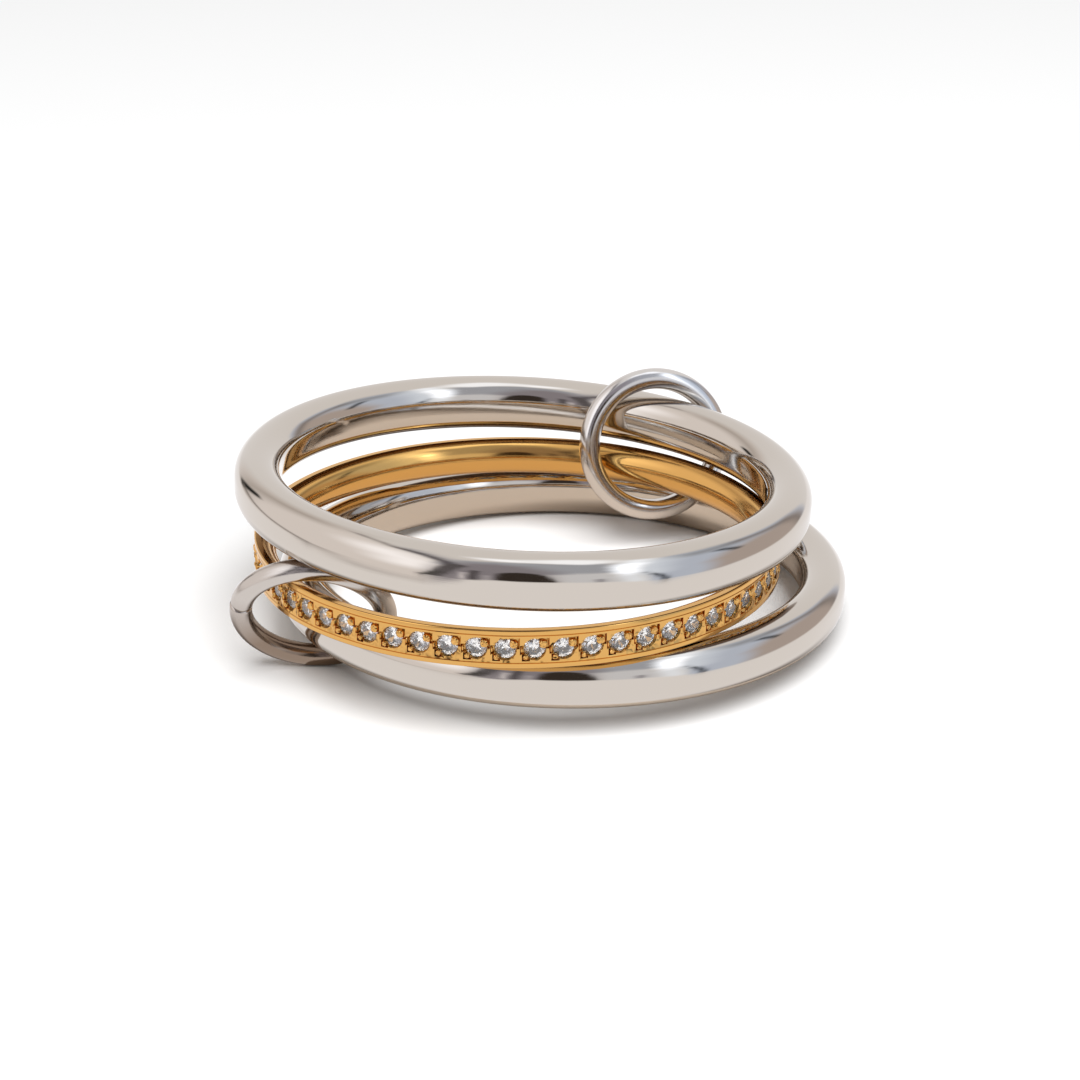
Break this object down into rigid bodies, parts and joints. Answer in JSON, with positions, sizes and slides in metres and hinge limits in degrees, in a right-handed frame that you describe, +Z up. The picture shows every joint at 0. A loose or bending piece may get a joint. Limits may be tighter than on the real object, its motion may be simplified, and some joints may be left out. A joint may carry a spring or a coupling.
{
  "type": "stacking ring",
  "caption": "Stacking ring of plain polished bands with a stone-set band between them, interlinked by small round connector rings, lying on its side.",
  "frame": {"origin": "centre of the bounding box, on the surface that the ring lies on", "axes": "+Z up from that surface and roughly along the finger; -Y towards the front of the picture; +X to its right"},
  "size_m": [0.022, 0.0216, 0.0073],
  "materials": {
    "white_metal": "mirror polished white metal",
    "yellow_metal": "polished yellow metal, bright-cut round the stones",
    "link_metal": "polished white metal wire, slightly duller than the bands",
    "clear_stone": "clear cut stone"
  },
  "bodies": {
    "root": {"upper_band": "white_metal", "middle_band": "yellow_metal", "lower_band": "white_metal", "front_link": "link_metal", "rear_link": "link_metal", "stones": "clear_stone"}
  },
  "joints": []
}
